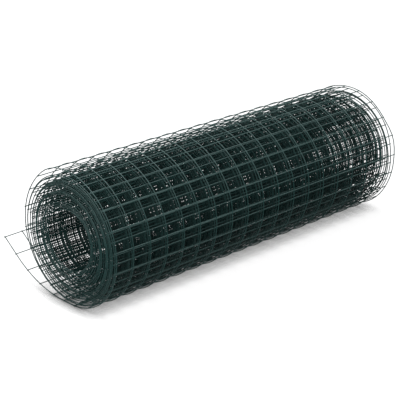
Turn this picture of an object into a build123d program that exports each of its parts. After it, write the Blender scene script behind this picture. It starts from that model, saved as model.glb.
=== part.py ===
from build123d import *

import math
import os

# Roll of welded wire fencing, 900 mm high and about 15 m long, lying on its side.
# Millimetres, +Z up. The roll lies along X, and its loose end rises behind it on the +Y side.

# Mesh
MESH_PITCH = 50.0
CELLS_ACROSS = 18
WIRE_DIAMETER = 2.2
WELD_OVERLAP = 0.7
STUB_LENGTH = 2.5

# Winding, a little tighter at the far end than at the near one
NEAR_END_DIAMETER = 328.0
FAR_END_DIAMETER = 308.0
BORE_DIAMETER = 136.0
TURNS = 21
TURNS_IN_CREST = 1.5
GROOVE_DEPTH = 5.0

# Loose end, measured along the mesh from the roll's lowest line
LOOSE_ROOT = 8.0
LOOSE_FLAT_END = 31.0
LOOSE_FIRST_WELD = 62.0
LOOSE_CELLS = 4
LOOSE_BEND_RADIUS = 270.0
LOOSE_BEND_ANGLE = 37.0

WIRE_RADIUS = WIRE_DIAMETER / 2
WIRE_SIDES = 6
MESH_WIDTH = CELLS_ACROSS * MESH_PITCH
CROSS_WIRE_LENGTH = MESH_WIDTH + WIRE_DIAMETER + 2 * STUB_LENGTH
NEAR_END_RADIUS = NEAR_END_DIAMETER / 2
FAR_END_RADIUS = FAR_END_DIAMETER / 2
BORE_RADIUS = BORE_DIAMETER / 2
CRESTS = round(TURNS / TURNS_IN_CREST)
LEAN = math.atan2(NEAR_END_RADIUS - FAR_END_RADIUS, CROSS_WIRE_LENGTH)
AXIS_HEIGHT = NEAR_END_RADIUS * math.cos(LEAN) - CROSS_WIRE_LENGTH / 2 * math.sin(LEAN)
AXIS_SHIFT = (NEAR_END_RADIUS + FAR_END_RADIUS) / 2 * math.sin(LEAN)
CROSS_WIRE_HEIGHT = WIRE_RADIUS + WIRE_DIAMETER - WELD_OVERLAP


def end_outline(end_x, inward, end_radius):
    """Outline of one end from the bore out: crests for its turns, flat on the first and the last."""
    first_crest = BORE_RADIUS + WIRE_RADIUS
    crest_pitch = (end_radius - WIRE_RADIUS - first_crest) / (CRESTS - 1)
    groove_x = end_x + inward * GROOVE_DEPTH
    points = [(end_x, BORE_RADIUS), (end_x, BORE_RADIUS + WIRE_DIAMETER)]
    for number in range(1, CRESTS):
        crest = first_crest + number * crest_pitch
        points.append((groove_x, crest - crest_pitch / 2))
        points.append((end_x, crest))
    points[-1] = (end_x, end_radius - WIRE_DIAMETER)
    points.append((end_x, end_radius))
    return points


def wound_body():
    """The wound mesh as one turned solid with its bore, leaning so that it lies along its lowest line."""
    near_end = end_outline(-CROSS_WIRE_LENGTH / 2, 1, NEAR_END_RADIUS)
    far_end = end_outline(CROSS_WIRE_LENGTH / 2, -1, FAR_END_RADIUS)
    section = make_face(Polyline(*near_end, *reversed(far_end), close=True))
    turned = revolve(section, Axis.X)
    return Pos(AXIS_SHIFT, 0, AXIS_HEIGHT) * Rot(0, math.degrees(LEAN), 0) * turned


def loose_tilt(distance):
    """Slope of the loose end, in radians, at a distance along it."""
    bent = (distance - LOOSE_FLAT_END) / LOOSE_BEND_RADIUS
    return min(max(bent, 0.0), math.radians(LOOSE_BEND_ANGLE))


def loose_point(distance, height):
    """Point of the loose end at a distance along it and a height over its outer face."""
    tilt = loose_tilt(distance)
    straight = distance - LOOSE_FLAT_END - LOOSE_BEND_RADIUS * tilt
    radius = LOOSE_BEND_RADIUS - height
    y = LOOSE_FLAT_END + radius * math.sin(tilt) + straight * math.cos(tilt)
    z = LOOSE_BEND_RADIUS - radius * math.cos(tilt) + straight * math.sin(tilt)
    return Vector(0, y, z)


def wire_section():
    """Section of a wire, with a flat above and below."""
    return RegularPolygon(WIRE_RADIUS, WIRE_SIDES, major_radius=False)


def loose_line_wire(welds):
    """A wire that runs out of the winding and bends a little at each weld."""
    stops = [LOOSE_ROOT, LOOSE_FLAT_END] + welds
    points = [loose_point(stop, WIRE_RADIUS) for stop in stops]
    last_run = (points[-1] - points[-2]).normalized()
    points.append(points[-1] + last_run * STUB_LENGTH)
    path = Polyline(*points)
    start = Plane(origin=points[0], x_dir=(1, 0, 0), z_dir=path % 0)
    return sweep(start * wire_section(), path, transition=Transition.RIGHT)


def loose_cross_wire(weld):
    """A straight wire across the mesh, let into the line wires and a stub longer at both edges."""
    middle = Pos(loose_point(weld, CROSS_WIRE_HEIGHT)) * Rot(math.degrees(loose_tilt(weld)), 0, 0)
    across = Plane(origin=(-CROSS_WIRE_LENGTH / 2, 0, 0), x_dir=(0, 1, 0), z_dir=(1, 0, 0))
    return middle * extrude(across * wire_section(), CROSS_WIRE_LENGTH)


def loose_end():
    """The mesh that has come off the roll, as its wires."""
    welds = [LOOSE_FIRST_WELD + cell * MESH_PITCH for cell in range(LOOSE_CELLS + 1)]
    line_wire = loose_line_wire(welds)
    first_x = -MESH_WIDTH / 2
    wires = [Pos(first_x + line * MESH_PITCH, 0, 0) * line_wire for line in range(CELLS_ACROSS + 1)]
    wires += [loose_cross_wire(weld) for weld in welds]
    return wires


def fencing_roll():
    """The whole roll as one solid, centred over the origin with its lowest line at z = 0."""
    roll = wound_body().fuse(*loose_end())
    box = roll.bounding_box()
    return Pos(-box.center().X, -box.center().Y, 0) * roll


os.makedirs("parts", exist_ok=True)
export_step(fencing_roll(), "parts/fencing_roll.step")
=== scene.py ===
"""A roll of green coated welded wire fencing on its side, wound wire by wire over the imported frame."""

import logging
import math
import random
from bisect import bisect_right
from dataclasses import dataclass, field
from enum import Enum

import bmesh
import bpy
from mathutils import Matrix, Vector


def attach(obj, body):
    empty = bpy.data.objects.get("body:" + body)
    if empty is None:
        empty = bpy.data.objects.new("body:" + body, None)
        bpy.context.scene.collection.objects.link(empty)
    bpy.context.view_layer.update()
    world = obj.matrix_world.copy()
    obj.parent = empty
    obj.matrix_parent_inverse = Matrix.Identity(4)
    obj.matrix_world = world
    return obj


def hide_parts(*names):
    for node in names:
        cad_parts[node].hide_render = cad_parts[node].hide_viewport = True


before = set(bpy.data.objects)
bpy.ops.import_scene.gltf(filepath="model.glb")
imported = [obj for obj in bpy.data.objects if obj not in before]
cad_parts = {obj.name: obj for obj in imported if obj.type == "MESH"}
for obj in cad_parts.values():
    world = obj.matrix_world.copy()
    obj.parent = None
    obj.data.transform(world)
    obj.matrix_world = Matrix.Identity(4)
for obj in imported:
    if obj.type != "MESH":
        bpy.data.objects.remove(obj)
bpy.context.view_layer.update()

LOG = logging.getLogger("fencing_roll")
MM = 0.001
METRE = 1000.0
BODY = "root"
ROLL_NODE = "fencing_roll"
SHADE_DEPTH_ATTRIBUTE = "depth"


class Edge(Enum):
    """The two edges of the mesh, which are the two ends of the roll."""

    NEAR = "near"
    FAR = "far"


class PieceName(Enum):
    """Names of the pieces that stand for the roll."""

    NEAR_LINES = "line_wires_near"
    MIDDLE_LINES = "line_wires_middle"
    FAR_LINES = "line_wires_far"
    CROSS_WIRES = "cross_wires"
    OUTER_WELDS = "weld_points_outer"
    INNER_WELDS = "weld_points_inner"


LINE_BANDS = (PieceName.NEAR_LINES, PieceName.MIDDLE_LINES, PieceName.FAR_LINES)


@dataclass(frozen=True)
class Wave:
    """A slow rise and fall along a run: its height, how quickly it goes and where it starts."""

    height: float
    rate: float
    start: float

    def at(self, run: float) -> float:
        """Returns how far the wave stands off its middle after a run."""
        return self.height * math.sin(self.rate * run + self.start)


@dataclass(frozen=True)
class Knot:
    """Radius and middle of the winding at one point of its run, in millimetres.

    The middle is measured from the roll's lowest line: how far behind it, and how high.
    """

    turn: float
    radius: float
    behind: float
    height: float

    def sizes(self) -> tuple[float, float, float]:
        """Returns the radius and the middle as three numbers."""
        return self.radius, self.behind, self.height


@dataclass(frozen=True)
class EndShape:
    """The winding as one end of the roll shows it: its knots, and how unevenly its turns lie."""

    knots: tuple[Knot, ...]
    waves: tuple[Wave, ...]
    even_until: float = 1.5
    uneven_from: float = 4.0

    def slope(self, index: int, size: int) -> float:
        """Slope of one size at a knot, which never makes the run between two knots overshoot.

        Args:
            index: Which knot.
            size: Which of its three sizes.

        Returns:
            The change of the size for each turn.
        """
        if index in (0, len(self.knots) - 1):
            first = min(index, len(self.knots) - 2)
            return self.chord(first, size)
        before, after = self.chord(index - 1, size), self.chord(index, size)
        if before * after <= 0.0:
            return 0.0
        span_before = self.knots[index].turn - self.knots[index - 1].turn
        span_after = self.knots[index + 1].turn - self.knots[index].turn
        weight_before = 2.0 * span_after + span_before
        weight_after = span_after + 2.0 * span_before
        return (weight_before + weight_after) / (weight_before / before + weight_after / after)

    def chord(self, index: int, size: int) -> float:
        """Mean change of one size between a knot and the next.

        Args:
            index: The first of the two knots.
            size: Which of the three sizes.

        Returns:
            The change of the size for each turn.
        """
        first, second = self.knots[index], self.knots[index + 1]
        return (second.sizes()[size] - first.sizes()[size]) / (second.turn - first.turn)

    def sizes_at(self, turn: float) -> tuple[float, float, float]:
        """Radius and middle of the winding at a number of turns from the roll's lowest line.

        Args:
            turn: Turns wound so far.

        Returns:
            Radius, distance behind the lowest line and height, in millimetres.
        """
        turns = [knot.turn for knot in self.knots]
        index = min(max(bisect_right(turns, turn) - 1, 0), len(turns) - 2)
        first, second = self.knots[index], self.knots[index + 1]
        span = second.turn - first.turn
        share = (turn - first.turn) / span
        found = []
        for size, (start, end) in enumerate(zip(first.sizes(), second.sizes())):
            found.append(
                start * (2 * share**3 - 3 * share**2 + 1)
                + end * (3 * share**2 - 2 * share**3)
                + self.slope(index, size) * span * (share**3 - 2 * share**2 + share)
                + self.slope(index + 1, size) * span * (share**3 - share**2)
            )
        return found[0], found[1], found[2]

    def looseness(self, turn: float) -> float:
        """How far the winding stands off its even line, in millimetres.

        Args:
            turn: Turns wound so far.

        Returns:
            A distance outwards.
        """
        share = (turn - self.even_until) / (self.uneven_from - self.even_until)
        return min(max(share, 0.0), 1.0) * sum(wave.at(turn) for wave in self.waves)

    def point(self, turn: float) -> Vector:
        """Where the line wire runs at this end, as distance behind the lowest line and height.

        Args:
            turn: Turns wound so far.

        Returns:
            A flat vector in millimetres.
        """
        radius, behind, height = self.sizes_at(turn)
        radius += self.looseness(turn)
        angle = 1.5 * math.pi - math.tau * turn
        return Vector((behind + radius * math.cos(angle), height + radius * math.sin(angle)))


@dataclass(frozen=True)
class LooseEnd:
    """The mesh that has come off the roll and rises behind it, in millimetres."""

    wire_radius: float = 1.1
    flat: float = 31.0
    bend_radius: float = 270.0
    bend_angle: float = math.radians(37.0)

    def point(self, distance: float) -> Vector:
        """Middle of a line wire, as distance behind the lowest line and height.

        Args:
            distance: How far along the mesh from the roll's lowest line.

        Returns:
            A flat vector in millimetres.
        """
        tilt = min(max((distance - self.flat) / self.bend_radius, 0.0), self.bend_angle)
        straight = distance - self.flat - self.bend_radius * tilt
        radius = self.bend_radius - self.wire_radius
        return Vector(
            (
                self.flat + radius * math.sin(tilt) + straight * math.cos(tilt),
                self.bend_radius - radius * math.cos(tilt) + straight * math.sin(tilt),
            )
        )


@dataclass
class MeshPath:
    """The line that the mesh follows from the tip of its loose end to the middle of the roll.

    The roll lies on its lowest line, whose Y is given in millimetres. Distances along the mesh count
    from there inwards, in millimetres, and are measured at one share of its width. The mesh also creeps
    to and fro along the roll, in waves over its length in metres, which grow to their full height on
    the way to creep_start.
    """

    ends: dict[Edge, EndShape]
    loose_end: LooseEnd = LooseEnd()
    lowest_line: float = -38.36
    turns: float = 20.8
    steps_in_turn: int = 360
    measured_at: float = 0.451
    heading_reach: float = 1.0
    creep_start: float = 1.0
    creep: tuple[Wave, ...] = (Wave(2.212, 1.798, 0.114), Wave(0.412, 5.429, -2.078))
    travels: list[float] = field(init=False)

    def __post_init__(self) -> None:
        """Measures the wound mesh along its middle, step by step."""
        self.travels = [0.0]
        before = self.between(0.0, self.measured_at)
        for step in range(1, round(self.turns * self.steps_in_turn) + 1):
            here = self.between(step / self.steps_in_turn, self.measured_at)
            self.travels.append(self.travels[-1] + (here - before).length)
            before = here

    def between(self, turn: float, share: float) -> Vector:
        """Where the mesh runs between its two edges, as distance behind the lowest line and height.

        Args:
            turn: Turns wound so far.
            share: 0 at the near edge of the mesh and 1 at the far one.

        Returns:
            A flat vector in millimetres.
        """
        return self.ends[Edge.NEAR].point(turn).lerp(self.ends[Edge.FAR].point(turn), share)

    def turn_at(self, travel: float) -> float:
        """Turns wound when the mesh has run a distance from the roll's lowest line.

        Args:
            travel: Distance along the mesh, in millimetres.

        Returns:
            A number of turns.
        """
        step = min(bisect_right(self.travels, travel), len(self.travels) - 1)
        before, after = self.travels[step - 1], self.travels[step]
        return (step - 1 + (travel - before) / (after - before)) / self.steps_in_turn

    def point(self, travel: float, share: float) -> Vector:
        """Middle of a line wire in the roll's own plane.

        Args:
            travel: Distance along the mesh, below zero on the loose end.
            share: 0 at the near edge of the mesh and 1 at the far one.

        Returns:
            Y and Z in millimetres.
        """
        if travel < 0.0:
            place = self.loose_end.point(-travel)
        else:
            place = self.between(self.turn_at(travel), share)
        return place + Vector((self.lowest_line, 0.0))

    def heading(self, travel: float, share: float) -> Vector:
        """Direction in which the mesh runs on, as Y and Z.

        Args:
            travel: Distance along the mesh.
            share: 0 at the near edge of the mesh and 1 at the far one.

        Returns:
            A flat vector of length 1.
        """
        ahead = self.point(travel + self.heading_reach, share)
        behind = self.point(travel - self.heading_reach, share)
        return (ahead - behind).normalized()

    def depth(self, travel: float) -> float:
        """How deep the mesh lies in the roll.

        Args:
            travel: Distance along the mesh.

        Returns:
            How many turns lie round it, with none for the loose end.
        """
        if travel <= 0.0:
            return 0.0
        return self.turn_at(travel)

    def wander(self, travel: float) -> float:
        """How far the mesh has crept along the roll, in millimetres.

        Args:
            travel: Distance along the mesh.

        Returns:
            A distance along X.
        """
        wound = max(travel, 0.0) / METRE
        share = min(wound / self.creep_start, 1.0)
        return share * sum(wave.at(wound) for wave in self.creep)


@dataclass(frozen=True)
class WireMesh:
    """Sizes of the welded mesh itself, in millimetres.

    Its middle is given as X. Welds are given by their distance along the mesh from the roll's lowest
    line, which is below zero on the loose end.
    """

    pitch: float = 50.0
    cells_across: int = 18
    wire_diameter: float = 2.2
    weld_overlap: float = 0.7
    stub: float = 2.5
    middle: float = -1.7
    loose_welds: tuple[float, ...] = (-262.0, -212.0, -162.0, -112.0, -62.0, -24.3)
    first_roll_weld: float = 13.4
    roll_welds: int = 295

    @property
    def wire_radius(self) -> float:
        """Half the wire's thickness."""
        return self.wire_diameter / 2.0

    @property
    def inset(self) -> float:
        """How far inside the line wires the cross wires run, middle to middle."""
        return self.wire_diameter - self.weld_overlap

    @property
    def edge_x(self) -> float:
        """X of the near edge's line wire."""
        return self.middle - self.pitch * self.cells_across / 2.0

    def welds(self) -> list[float]:
        """Returns where the cross wires lie along the mesh, from the loose end inwards."""
        wound = [self.first_roll_weld + self.pitch * weld for weld in range(self.roll_welds)]
        return list(self.loose_welds) + wound


def straight_wire(length: float, radius: float, sides: int, rings: int) -> bpy.types.Mesh:
    """Draws a straight round wire along Z out of a circle and divides it into even lengths.

    Args:
        length: Length of the wire.
        radius: Radius of the wire.
        sides: How many sides stand for its round section.
        rings: How many rings it has, both ends among them.

    Returns:
        A closed mesh with smooth sides, which starts at the origin.
    """
    wire = bmesh.new()
    bmesh.ops.create_circle(wire, segments=sides, radius=radius)
    start = list(wire.edges)
    drawn = bmesh.ops.extrude_edge_only(wire, edges=start)["geom"]
    tip = [item for item in drawn if isinstance(item, bmesh.types.BMVert)]
    bmesh.ops.translate(wire, verts=tip, vec=(0.0, 0.0, length))
    fresh = set(tip)
    end = [edge for edge in wire.edges if edge.verts[0] in fresh and edge.verts[1] in fresh]
    long_edges = [edge for edge in wire.edges if (edge.verts[0] in fresh) != (edge.verts[1] in fresh)]
    if rings > 2:
        bmesh.ops.subdivide_edges(wire, edges=long_edges, cuts=rings - 2, use_grid_fill=True)
    for face in wire.faces:
        face.smooth = True
    for rim in (start, end):
        bmesh.ops.contextual_create(wire, geom=rim)
        for edge in rim:
            edge.smooth = False
    bmesh.ops.recalc_face_normals(wire, faces=wire.faces)
    mesh = bpy.data.meshes.new("straight_wire")
    wire.to_mesh(mesh)
    wire.free()
    return mesh


def join(name: str, meshes: list[bpy.types.Mesh]) -> bpy.types.Object:
    """Joins meshes into one object that sits at the origin.

    Args:
        name: Name of the object.
        meshes: The meshes, already in their places. They are used up.

    Returns:
        The object, linked to the scene.
    """
    whole = bmesh.new()
    for mesh in meshes:
        whole.from_mesh(mesh)
        bpy.data.meshes.remove(mesh)
    joined = bpy.data.meshes.new(name)
    whole.to_mesh(joined)
    whole.free()
    piece = bpy.data.objects.new(name, joined)
    bpy.context.scene.collection.objects.link(piece)
    return piece


def placed(mesh: bpy.types.Mesh, place: Matrix, depth: float) -> bpy.types.Mesh:
    """Copies a mesh to its place and marks how deep in the roll it lies.

    Args:
        mesh: The mesh to copy.
        place: Where the copy goes.
        depth: Its depth, as MeshPath gives it.

    Returns:
        The copy.
    """
    copy = mesh.copy()
    copy.transform(place)
    mark_depth(copy, [depth] * len(copy.vertices))
    return copy


def mark_depth(mesh: bpy.types.Mesh, depths: list[float]) -> None:
    """Keeps each vertex's depth in the roll as an attribute, by which the coat paints light on the outer
    turns and shade on the inner ones.

    Args:
        mesh: The mesh to mark.
        depths: One depth for each vertex.
    """
    mesh.attributes.new(SHADE_DEPTH_ATTRIBUTE, "FLOAT", "POINT").data.foreach_set("value", depths)


@dataclass
class LineWires:
    """The wires that run the whole length of the mesh and wind with it.

    They lie on the outer side of the cross wires. The coat counts their depth a fixed number of times over,
    which paints on them the shade that the line wires of the outer turns cast on those beneath, so the
    painted light and the grey thin out on them sooner. The two edge wires are open to the light at the ends
    of the roll, so their depth never counts as more than edge_depth, which rises and falls with edge_wave:
    painted light on them, in rings of lighter and darker painted shade.
    """

    mesh: WireMesh
    path: MeshPath
    sides: int = 8
    steps_in_turn: int = 60
    loose_step: float = 12.5
    least_step: float = 1.0
    painted_shade_factor: float = 2.0
    edge_depth: float = 1.7
    edge_wave: Wave = Wave(1.0, 1.33, 0.0)

    def stops(self) -> list[float]:
        """Chooses where along the mesh a line wire gets its rings.

        Returns:
            Distances in millimetres, from the tip of the loose end inwards.
        """
        welds = self.mesh.welds()
        tip = welds[0] - self.mesh.stub
        loose = [tip]
        while loose[-1] + self.loose_step < 0.0:
            loose.append(loose[-1] + self.loose_step)
        last = welds[-1] + self.mesh.stub
        stride = self.path.steps_in_turn // self.steps_in_turn
        wound = [travel for travel in self.path.travels[::stride] if travel < last - self.least_step]
        return loose + wound + [last]

    def frames(self, line: int, stops: list[float]) -> list[Matrix]:
        """Places of one line wire's run.

        Args:
            line: Number of the wire, from the near edge.
            stops: Distances along the mesh.

        Returns:
            One matrix for each stop, in metres.
        """
        share = line / self.mesh.cells_across
        x = self.mesh.edge_x + line * self.mesh.pitch
        places = []
        for travel in stops:
            spot = self.path.point(travel, share)
            run = self.path.heading(travel, share)
            along = Vector((0.0, run.x, run.y))
            side = Vector((1.0, 0.0, 0.0))
            turned = Matrix((side, along.cross(side), along)).transposed().to_4x4()
            centre = Vector((x + self.path.wander(travel), spot.x, spot.y)) * MM
            places.append(Matrix.Translation(centre) @ turned)
        return places

    def wound(self, straight: bpy.types.Mesh, frames: list[Matrix], depths: list[float]) -> bpy.types.Mesh:
        """Bends a straight wire along its run.

        Args:
            straight: A wire along Z with a ring at every whole number.
            frames: Place of each ring.
            depths: Depth of each ring in the roll.

        Returns:
            The bent wire.
        """
        mesh = straight.copy()
        rings = [round(vertex.co.z) for vertex in mesh.vertices]
        for vertex, ring in zip(mesh.vertices, rings):
            vertex.co = frames[ring] @ Vector((vertex.co.x, vertex.co.y, 0.0))
        mark_depth(mesh, [depths[ring] for ring in rings])
        return mesh

    def build(self) -> list[bpy.types.Object]:
        """Builds all line wires.

        Returns:
            Their pieces, each a band of the roll's width.
        """
        stops = self.stops()
        straight = straight_wire(len(stops) - 1.0, self.mesh.wire_radius * MM, self.sides, len(stops))
        # Painted shade: line wires count deeper than they lie, so the coat paints them darker.
        depths = [self.painted_shade_factor * self.path.depth(travel) for travel in stops]
        # Painted light on the edge wires: their depth is held low and made to rise and fall, so the coat
        # paints them lighter, in lighter and darker rings.
        painted_lit = [min(depth, self.edge_depth + self.edge_wave.at(depth)) for depth in depths]
        edges = (0, self.mesh.cells_across)
        wires = [
            self.wound(straight, self.frames(line, stops), painted_lit if line in edges else depths)
            for line in range(self.mesh.cells_across + 1)
        ]
        bands = list(LINE_BANDS)
        size = math.ceil(len(wires) / len(bands))
        return [join(name.value, wires[size * band : size * (band + 1)]) for band, name in enumerate(bands)]


@dataclass
class CrossWires:
    """The straight wires across the mesh, with the welds that hold them, in millimetres."""

    mesh: WireMesh
    path: MeshPath
    sides: int = 8
    seed: int = 11
    end_play: float = 0.5
    weld_length: float = 3.4
    weld_width: float = 3.2
    weld_height: float = 3.0
    weld_sides: int = 6
    weld_rings: int = 4
    weld_sizes: tuple[float, float] = (0.92, 1.08)
    weld_rows: int = 4

    def places(self) -> list[Matrix]:
        """Places every cross wire across the inner side of the line wires.

        Returns:
            One matrix for each, in metres, with its X along the wire and its Z outwards.
        """
        chance = random.Random(self.seed)
        width = self.mesh.pitch * self.mesh.cells_across
        places = []
        for travel in self.mesh.welds():
            run = self.path.heading(travel, share=0.5)
            out = Vector((-run.y, run.x))
            near = self.path.point(travel, 0.0) - out * self.mesh.inset
            far = self.path.point(travel, 1.0) - out * self.mesh.inset
            across = Vector((width, far.x - near.x, far.y - near.y)).normalized()
            up = Vector((0.0, out.x, out.y))
            up = (up - across * up.dot(across)).normalized()
            turned = Matrix((across, up.cross(across), up)).transposed().to_4x4()
            x = self.mesh.edge_x + self.path.wander(travel) + chance.uniform(-self.end_play, self.end_play)
            start = Vector((x, near.x, near.y)) * MM
            places.append(Matrix.Translation(start) @ turned)
        return places

    def wire(self) -> bpy.types.Mesh:
        """Makes one cross wire.

        Returns:
            The wire along X, with its first weld at the origin.
        """
        stub = (self.mesh.wire_radius + self.mesh.stub) * MM
        length = self.mesh.pitch * self.mesh.cells_across * MM
        wire = straight_wire(length + 2.0 * stub, self.mesh.wire_radius * MM, self.sides, 2)
        wire.transform(Matrix.Translation((-stub, 0.0, 0.0)) @ Matrix.Rotation(math.pi / 2.0, 4, "Y"))
        return wire

    def weld_row(self, chance: random.Random) -> bpy.types.Mesh:
        """Makes the row of welds on one cross wire, each a small swelling of the coat.

        Args:
            chance: The seeded source of their small differences.

        Returns:
            A mesh of closed beads.
        """
        row = bmesh.new()
        for cell in range(self.mesh.cells_across + 1):
            ball = bmesh.ops.create_uvsphere(
                row, u_segments=self.weld_sides, v_segments=self.weld_rings, radius=0.5
            )
            size = chance.uniform(*self.weld_sizes) * MM
            lengths = Vector((self.weld_length, self.weld_width, self.weld_height)) * size
            shape = Matrix.Diagonal(lengths).to_4x4()
            spin = Matrix.Rotation(chance.uniform(0.0, math.pi), 4, "Z")
            spot = Matrix.Translation((self.mesh.pitch * cell * MM, 0.0, self.mesh.inset / 2.0 * MM))
            bmesh.ops.transform(row, matrix=spot @ shape @ spin, verts=ball["verts"])
        for face in row.faces:
            face.smooth = True
        bmesh.ops.recalc_face_normals(row, faces=row.faces)
        mesh = bpy.data.meshes.new("weld_row")
        row.to_mesh(mesh)
        row.free()
        return mesh

    def build(self) -> list[bpy.types.Object]:
        """Builds all cross wires and their welds.

        Returns:
            The wires as one piece, then the welds of the outer and of the inner half of the mesh.
        """
        places = self.places()
        depths = [self.path.depth(travel) for travel in self.mesh.welds()]
        wire = self.wire()
        chance = random.Random(self.seed + 1)
        rows = [self.weld_row(chance) for _ in range(self.weld_rows)]
        wires = join(
            PieceName.CROSS_WIRES.value,
            [placed(wire, place, depth) for place, depth in zip(places, depths)],
        )
        welds = [
            placed(rows[number % self.weld_rows], place, depth)
            for number, (place, depth) in enumerate(zip(places, depths))
        ]
        half = len(welds) // 2
        outer = join(PieceName.OUTER_WELDS.value, welds[:half])
        inner = join(PieceName.INNER_WELDS.value, welds[half:])
        return [wires, outer, inner]


@dataclass
class NodeSheet:
    """A material's or world's node tree, with short ways to add to it."""

    tree: bpy.types.NodeTree

    def node(self, kind: str, **settings: object) -> bpy.types.Node:
        """Adds a node.

        Args:
            kind: Blender's name for the node.
            settings: Properties to set on it.

        Returns:
            The new node.
        """
        made = self.tree.nodes.new(kind)
        for name, value in settings.items():
            setattr(made, name, value)
        return made

    def link(self, source: bpy.types.NodeSocket, target: bpy.types.NodeSocket) -> None:
        """Joins two sockets."""
        self.tree.links.new(source, target)

    def noise(self, place: bpy.types.NodeSocket, scale: float, detail: float) -> bpy.types.NodeSocket:
        """Adds a noise pattern.

        Args:
            place: Where the pattern reads its coordinates.
            scale: Patches in a metre.
            detail: How fine its finest part is.

        Returns:
            The pattern's value, from 0 to 1.
        """
        made = self.node("ShaderNodeTexNoise")
        made.inputs["Scale"].default_value = scale
        made.inputs["Detail"].default_value = detail
        self.link(place, made.inputs["Vector"])
        return made.outputs["Fac"]

    def spread(
        self,
        value: bpy.types.NodeSocket,
        old: tuple[float, float],
        new: tuple[float, float],
    ) -> bpy.types.NodeSocket:
        """Maps a value from one range to another, held inside the new one.

        Args:
            value: The value to map.
            old: Its range.
            new: The range that it gets.

        Returns:
            The mapped value.
        """
        made = self.node("ShaderNodeMapRange", clamp=True)
        made.inputs["From Min"].default_value, made.inputs["From Max"].default_value = old
        made.inputs["To Min"].default_value, made.inputs["To Max"].default_value = new
        self.link(value, made.inputs["Value"])
        return made.outputs["Result"]

    def mix(
        self,
        share: bpy.types.NodeSocket,
        first: tuple[float, float, float] | bpy.types.NodeSocket,
        second: tuple[float, float, float] | bpy.types.NodeSocket,
    ) -> bpy.types.NodeSocket:
        """Mixes two colours.

        Args:
            share: How much of the second colour there is.
            first: A colour or a socket.
            second: A colour or a socket.

        Returns:
            The mixed colour.
        """
        made = self.node("ShaderNodeMix", data_type="RGBA")
        self.link(share, made.inputs["Factor"])
        for name, colour in (("A", first), ("B", second)):
            socket = next(item for item in made.inputs if item.name == name and item.type == "RGBA")
            if isinstance(colour, bpy.types.NodeSocket):
                self.link(colour, socket)
            else:
                socket.default_value = (*colour, 1.0)
        return next(item for item in made.outputs if item.type == "RGBA")

    def seen(self) -> bpy.types.NodeSocket:
        """Tells what the camera sees, itself or in gloss or glass, from all other light.

        Returns:
            1 for what is seen and 0 for light.
        """
        path = self.node("ShaderNodeLightPath")
        either = self.node("ShaderNodeMath", operation="MAXIMUM")
        self.link(path.outputs["Is Camera Ray"], either.inputs[0])
        self.link(path.outputs["Is Glossy Ray"], either.inputs[1])
        any_of = self.node("ShaderNodeMath", operation="MAXIMUM")
        self.link(either.outputs[0], any_of.inputs[0])
        self.link(path.outputs["Is Transmission Ray"], any_of.inputs[1])
        return any_of.outputs[0]


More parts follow.
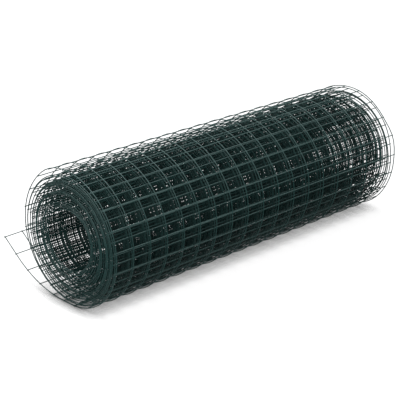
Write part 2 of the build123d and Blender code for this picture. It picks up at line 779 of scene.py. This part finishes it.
@dataclass(frozen=True)
class GreenCoat:
    """The dark green plastic coat of the wire, painted lighter on the outer turns and darker deep in the
    roll, as painted light and painted shade.

    The lighter green and the grey thin out over a range of depths, counted in turns. The grey lies on what
    faces up, partly dust and partly a painted highlight from the light above, and a range of the normal's Z
    sets where it lies.
    """

    deep: tuple[float, float, float] = (0.004, 0.017, 0.016)
    plain: tuple[float, float, float] = (0.008, 0.029, 0.027)
    # The lighter green painted on the outer turns as painted light; deeper in, the darker greens stay as
    # painted shade.
    fresh: tuple[float, float, float] = (0.016, 0.051, 0.048)
    # Grey that is partly dust and partly a painted highlight on faces that look up.
    dust_and_highlight_grey: tuple[float, float, float] = (0.165, 0.190, 0.186)
    # How much of that grey there is at most, partly dust and partly painted highlight.
    dust: float = 0.30
    shade_depths: tuple[float, float] = (1.0, 5.0)
    dust_and_highlight_slopes: tuple[float, float] = (0.1, 0.9)
    gloss: tuple[float, float] = (0.36, 0.52)
    specular: float = 0.12
    patch_scale: float = 38.0
    patch_detail: float = 3.0
    green_patches: tuple[float, float] = (0.35, 0.65)
    gloss_patches: tuple[float, float] = (0.3, 0.7)
    grain_scale: float = 950.0
    grain_detail: float = 2.0
    bump: float = 0.25
    bump_height: float = 0.00012
    refraction: float = 1.5

    def material(self) -> bpy.types.Material:
        """Mixes the coat's material.

        Returns:
            The material, which reads each piece's depth attribute.
        """
        coat = bpy.data.materials.new("green_plastic_coat")
        coat.use_nodes = True
        sheet = NodeSheet(coat.node_tree)
        shader = next(node for node in coat.node_tree.nodes if node.type == "BSDF_PRINCIPLED")
        place = sheet.node("ShaderNodeTexCoord").outputs["Object"]
        patches = sheet.noise(place, self.patch_scale, self.patch_detail)
        grain = sheet.noise(place, self.grain_scale, self.grain_detail)
        green = sheet.mix(sheet.spread(patches, self.green_patches, (0.0, 1.0)), self.deep, self.plain)
        depth = sheet.node("ShaderNodeAttribute", attribute_name=SHADE_DEPTH_ATTRIBUTE).outputs["Fac"]
        # Painted light and shade: 1 on the outer turns, falling to 0 deep in the roll.
        painted_lit = sheet.spread(depth, self.shade_depths, (1.0, 0.0))
        facing = sheet.node("ShaderNodeSeparateXYZ")
        sheet.link(sheet.node("ShaderNodeNewGeometry").outputs["Normal"], facing.inputs[0])
        # The grey on upward faces of the outer turns: partly dust, partly a painted highlight from the
        # light above.
        dust_and_highlight_share = sheet.node("ShaderNodeMath", operation="MULTIPLY")
        sheet.link(painted_lit, dust_and_highlight_share.inputs[0])
        sheet.link(sheet.spread(facing.outputs["Z"], self.dust_and_highlight_slopes, (0.0, self.dust)), dust_and_highlight_share.inputs[1])
        # Painted light: the outer turns get the lighter green, and the turns deep inside keep the darker
        # greens as painted shade.
        green = sheet.mix(painted_lit, green, self.fresh)
        sheet.link(sheet.mix(dust_and_highlight_share.outputs[0], green, self.dust_and_highlight_grey), shader.inputs["Base Color"])
        sheet.link(sheet.spread(patches, self.gloss_patches, self.gloss), shader.inputs["Roughness"])
        bump = sheet.node("ShaderNodeBump")
        bump.inputs["Strength"].default_value = self.bump
        bump.inputs["Distance"].default_value = self.bump_height
        sheet.link(grain, bump.inputs["Height"])
        sheet.link(bump.outputs["Normal"], shader.inputs["Normal"])
        shader.inputs["IOR"].default_value = self.refraction
        shader.inputs["Specular IOR Level"].default_value = self.specular
        return coat

    def dress(self, pieces: list[bpy.types.Object]) -> None:
        """Gives the coat to pieces.

        Args:
            pieces: The objects to dress.
        """
        coat = self.material()
        for piece in pieces:
            piece.data.materials.append(coat)


@dataclass(frozen=True)
class FloorPaint:
    """A plain pale floor that shows white where the light is full and keeps soft shadows.

    Most of it is a glow, which the open air over each spot dims within contact_reach of the roll: a painted
    contact shadow, beside the real soft shadow in its lit part.
    """

    tone: float = 0.22
    lift: float = 0.90
    contact_reach: float = 0.04
    contact_depth: float = 3.5
    contact_samples: int = 8

    def material(self) -> bpy.types.Material:
        """Mixes the floor's material.

        Returns:
            The material: a little of it is lit, and the rest glows where it is seen, dimmed near the roll
                as a painted contact shadow.
        """
        paint = bpy.data.materials.new("pale_floor")
        paint.use_nodes = True
        tree = paint.node_tree
        tree.nodes.clear()
        sheet = NodeSheet(tree)
        matt = sheet.node("ShaderNodeBsdfDiffuse")
        matt.inputs["Color"].default_value = (self.tone, self.tone, self.tone, 1.0)
        glow = sheet.node("ShaderNodeEmission")
        # Painted contact shadow: ambient occlusion, raised to a power, dims the glow under and beside the
        # roll.
        open_air = sheet.node("ShaderNodeAmbientOcclusion", samples=self.contact_samples)
        open_air.inputs["Distance"].default_value = self.contact_reach
        shade = sheet.node("ShaderNodeMath", operation="POWER")
        shade.inputs[1].default_value = self.contact_depth
        sheet.link(open_air.outputs["AO"], shade.inputs[0])
        seen = sheet.node("ShaderNodeMath", operation="MULTIPLY")
        sheet.link(sheet.seen(), seen.inputs[0])
        sheet.link(shade.outputs[0], seen.inputs[1])
        sheet.link(sheet.spread(seen.outputs[0], (0.0, 1.0), (0.0, self.lift)), glow.inputs["Strength"])
        both = sheet.node("ShaderNodeAddShader")
        sheet.link(matt.outputs[0], both.inputs[0])
        sheet.link(glow.outputs[0], both.inputs[1])
        sheet.link(both.outputs[0], sheet.node("ShaderNodeOutputMaterial").inputs["Surface"])
        return paint


@dataclass(frozen=True)
class Lamp:
    """A soft square lamp that points at the roll."""

    name: str
    place: tuple[float, float, float]
    size: float
    power: float

    def build(self, aim: Vector) -> None:
        """Hangs the lamp.

        Args:
            aim: The point that it faces.
        """
        light = bpy.data.lights.new(self.name, "AREA")
        light.shape = "SQUARE"
        light.size = self.size
        light.energy = self.power
        lamp = bpy.data.objects.new(self.name, light)
        lamp.location = self.place
        lamp.rotation_euler = (aim - Vector(self.place)).to_track_quat("-Z", "Y").to_euler()
        bpy.context.scene.collection.objects.link(lamp)


@dataclass
class Studio:
    """Floor, light and camera round the roll, in metres and degrees."""

    floor_size: float = 40.0
    world_light: float = 0.30
    aim: tuple[float, float, float] = (-0.0562, -0.0384, 0.1438)
    azimuth: float = -42.69
    elevation: float = 22.72
    distance: float = 4.743
    lens: float = 181.3
    sensor: float = 36.0
    clip_end: float = 100.0
    paint: FloorPaint = FloorPaint()
    lamps: tuple[Lamp, ...] = (
        Lamp("key_lamp", (-0.3, 0.3, 3.6), 1.6, 150.0),
        Lamp("side_lamp", (-2.6, -1.8, 1.8), 2.4, 72.0),
    )

    def build_floor(self) -> None:
        """Lays the floor that the roll lies on."""
        shape = bmesh.new()
        bmesh.ops.create_grid(shape, x_segments=1, y_segments=1, size=self.floor_size / 2.0)
        mesh = bpy.data.meshes.new("floor")
        shape.to_mesh(mesh)
        shape.free()
        mesh.materials.append(self.paint.material())
        floor = bpy.data.objects.new("floor", mesh)
        bpy.context.scene.collection.objects.link(floor)

    def build_world(self) -> None:
        """Sets an even white light all round, seen as plain white."""
        world = bpy.data.worlds.new("white_room")
        world.use_nodes = True
        tree = world.node_tree
        tree.nodes.clear()
        sheet = NodeSheet(tree)
        light, backdrop = sheet.node("ShaderNodeBackground"), sheet.node("ShaderNodeBackground")
        light.inputs["Color"].default_value = (1.0, 1.0, 1.0, 1.0)
        light.inputs["Strength"].default_value = self.world_light
        backdrop.inputs["Color"].default_value = (1.0, 1.0, 1.0, 1.0)
        backdrop.inputs["Strength"].default_value = 1.0
        either = sheet.node("ShaderNodeMixShader")
        sheet.link(sheet.seen(), either.inputs[0])
        sheet.link(light.outputs[0], either.inputs[1])
        sheet.link(backdrop.outputs[0], either.inputs[2])
        sheet.link(either.outputs[0], sheet.node("ShaderNodeOutputWorld").inputs["Surface"])
        bpy.context.scene.world = world

    def build_camera(self) -> None:
        """Places the camera at the photo's viewing angle, with the photo's framing."""
        data = bpy.data.cameras.new("camera")
        data.sensor_width = self.sensor
        data.lens = self.lens
        data.clip_end = self.clip_end
        turned, raised = math.radians(self.azimuth), math.radians(self.elevation)
        back = Vector(
            (
                math.sin(turned) * math.cos(raised),
                -math.cos(turned) * math.cos(raised),
                math.sin(raised),
            )
        )
        camera = bpy.data.objects.new("camera", data)
        camera.location = Vector(self.aim) + back * self.distance
        camera.rotation_euler = (-back).to_track_quat("-Z", "Y").to_euler()
        bpy.context.scene.collection.objects.link(camera)
        bpy.context.scene.camera = camera

    def build(self) -> None:
        """Builds the whole studio."""
        self.build_floor()
        self.build_world()
        self.build_camera()
        for lamp in self.lamps:
            lamp.build(Vector(self.aim))
        bpy.context.scene.view_settings.view_transform = "Standard"


@dataclass
class FencingRoll:
    """The whole roll: line wires, cross wires and welds, all in one coat."""

    mesh: WireMesh = WireMesh()
    coat: GreenCoat = GreenCoat()
    near_knots: tuple[Knot, ...] = (
        Knot(0.0, 160.90, 0.00, 162.00),
        Knot(0.18, 162.18, 0.00, 162.00),
        Knot(0.35, 159.55, 0.00, 162.00),
        Knot(0.43, 159.23, 0.00, 162.00),
        Knot(0.5, 161.66, 0.00, 162.00),
        Knot(0.57, 163.93, 0.00, 162.00),
        Knot(0.65, 161.00, 0.00, 162.00),
        Knot(0.75, 161.42, 0.00, 162.00),
        Knot(1.0, 156.49, 0.00, 162.00),
        Knot(1.18, 155.64, 0.00, 159.50),
        Knot(1.42, 151.41, 0.00, 158.50),
        Knot(2.0, 150.45, 0.00, 158.50),
        Knot(4.0, 140.19, -0.80, 156.59),
        Knot(7.0, 130.35, -1.10, 157.91),
        Knot(10.0, 119.36, -0.46, 156.50),
        Knot(13.0, 107.75, 1.88, 158.14),
        Knot(16.0, 92.93, 0.36, 157.70),
        Knot(18.5, 80.27, 1.81, 158.61),
        Knot(20.8, 71.15, 2.30, 156.50),
    )
    far_knots: tuple[Knot, ...] = (
        Knot(0.0, 151.90, 2.00, 153.00),
        Knot(0.16, 152.38, 2.00, 153.00),
        Knot(0.25, 156.63, 2.00, 153.00),
        Knot(0.31, 162.43, 2.00, 153.00),
        Knot(0.36, 156.13, 2.00, 153.00),
        Knot(0.44, 154.69, 2.00, 153.00),
        Knot(0.54, 150.28, 2.00, 153.00),
        Knot(0.75, 150.89, 2.00, 153.00),
        Knot(1.0, 147.28, 2.00, 153.00),
        Knot(1.17, 145.25, 2.00, 153.00),
        Knot(1.25, 145.28, 2.00, 153.00),
        Knot(1.36, 150.48, 2.00, 153.00),
        Knot(1.55, 145.63, 2.00, 153.00),
        Knot(2.0, 144.49, 2.00, 153.00),
        Knot(2.2, 140.42, 1.43, 151.97),
        Knot(4.0, 133.82, 1.92, 152.08),
        Knot(7.0, 121.53, 4.80, 150.30),
        Knot(10.0, 112.51, 3.47, 151.05),
        Knot(13.0, 98.53, 2.82, 153.53),
        Knot(16.0, 87.91, 2.53, 152.43),
        Knot(18.5, 79.63, 2.45, 151.98),
        Knot(20.8, 68.82, 5.14, 149.88),
    )
    near_waves: tuple[Wave, ...] = (
        Wave(0.126, 2.325, 5.956),
        Wave(0.048, 5.215, 0.646),
        Wave(0.029, 10.744, 5.702),
    )
    far_waves: tuple[Wave, ...] = (
        Wave(0.097, 2.325, 0.633),
        Wave(0.037, 5.215, 2.565),
        Wave(0.022, 10.744, 2.298),
    )

    def build(self) -> list[bpy.types.Object]:
        """Builds the roll.

        Returns:
            Its pieces, dressed and riding on their body.
        """
        ends = {
            Edge.NEAR: EndShape(self.near_knots, self.near_waves),
            Edge.FAR: EndShape(self.far_knots, self.far_waves),
        }
        path = MeshPath(ends)
        LOG.info("wound mesh: %.0f mm", path.travels[-1])
        pieces = LineWires(self.mesh, path).build() + CrossWires(self.mesh, path).build()
        self.coat.dress(pieces)
        for piece in pieces:
            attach(piece, BODY)
            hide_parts(ROLL_NODE)
        return pieces


def main() -> None:
    """Builds the roll and the studio, and reports each piece."""
    logging.basicConfig(level=logging.INFO, format="%(name)s: %(message)s")
    Studio().build()
    for piece in FencingRoll().build():
        triangles = sum(len(face.vertices) - 2 for face in piece.data.polygons)
        LOG.info("%s: %d triangles", piece.name, triangles)


if __name__ == "__main__":
    main()
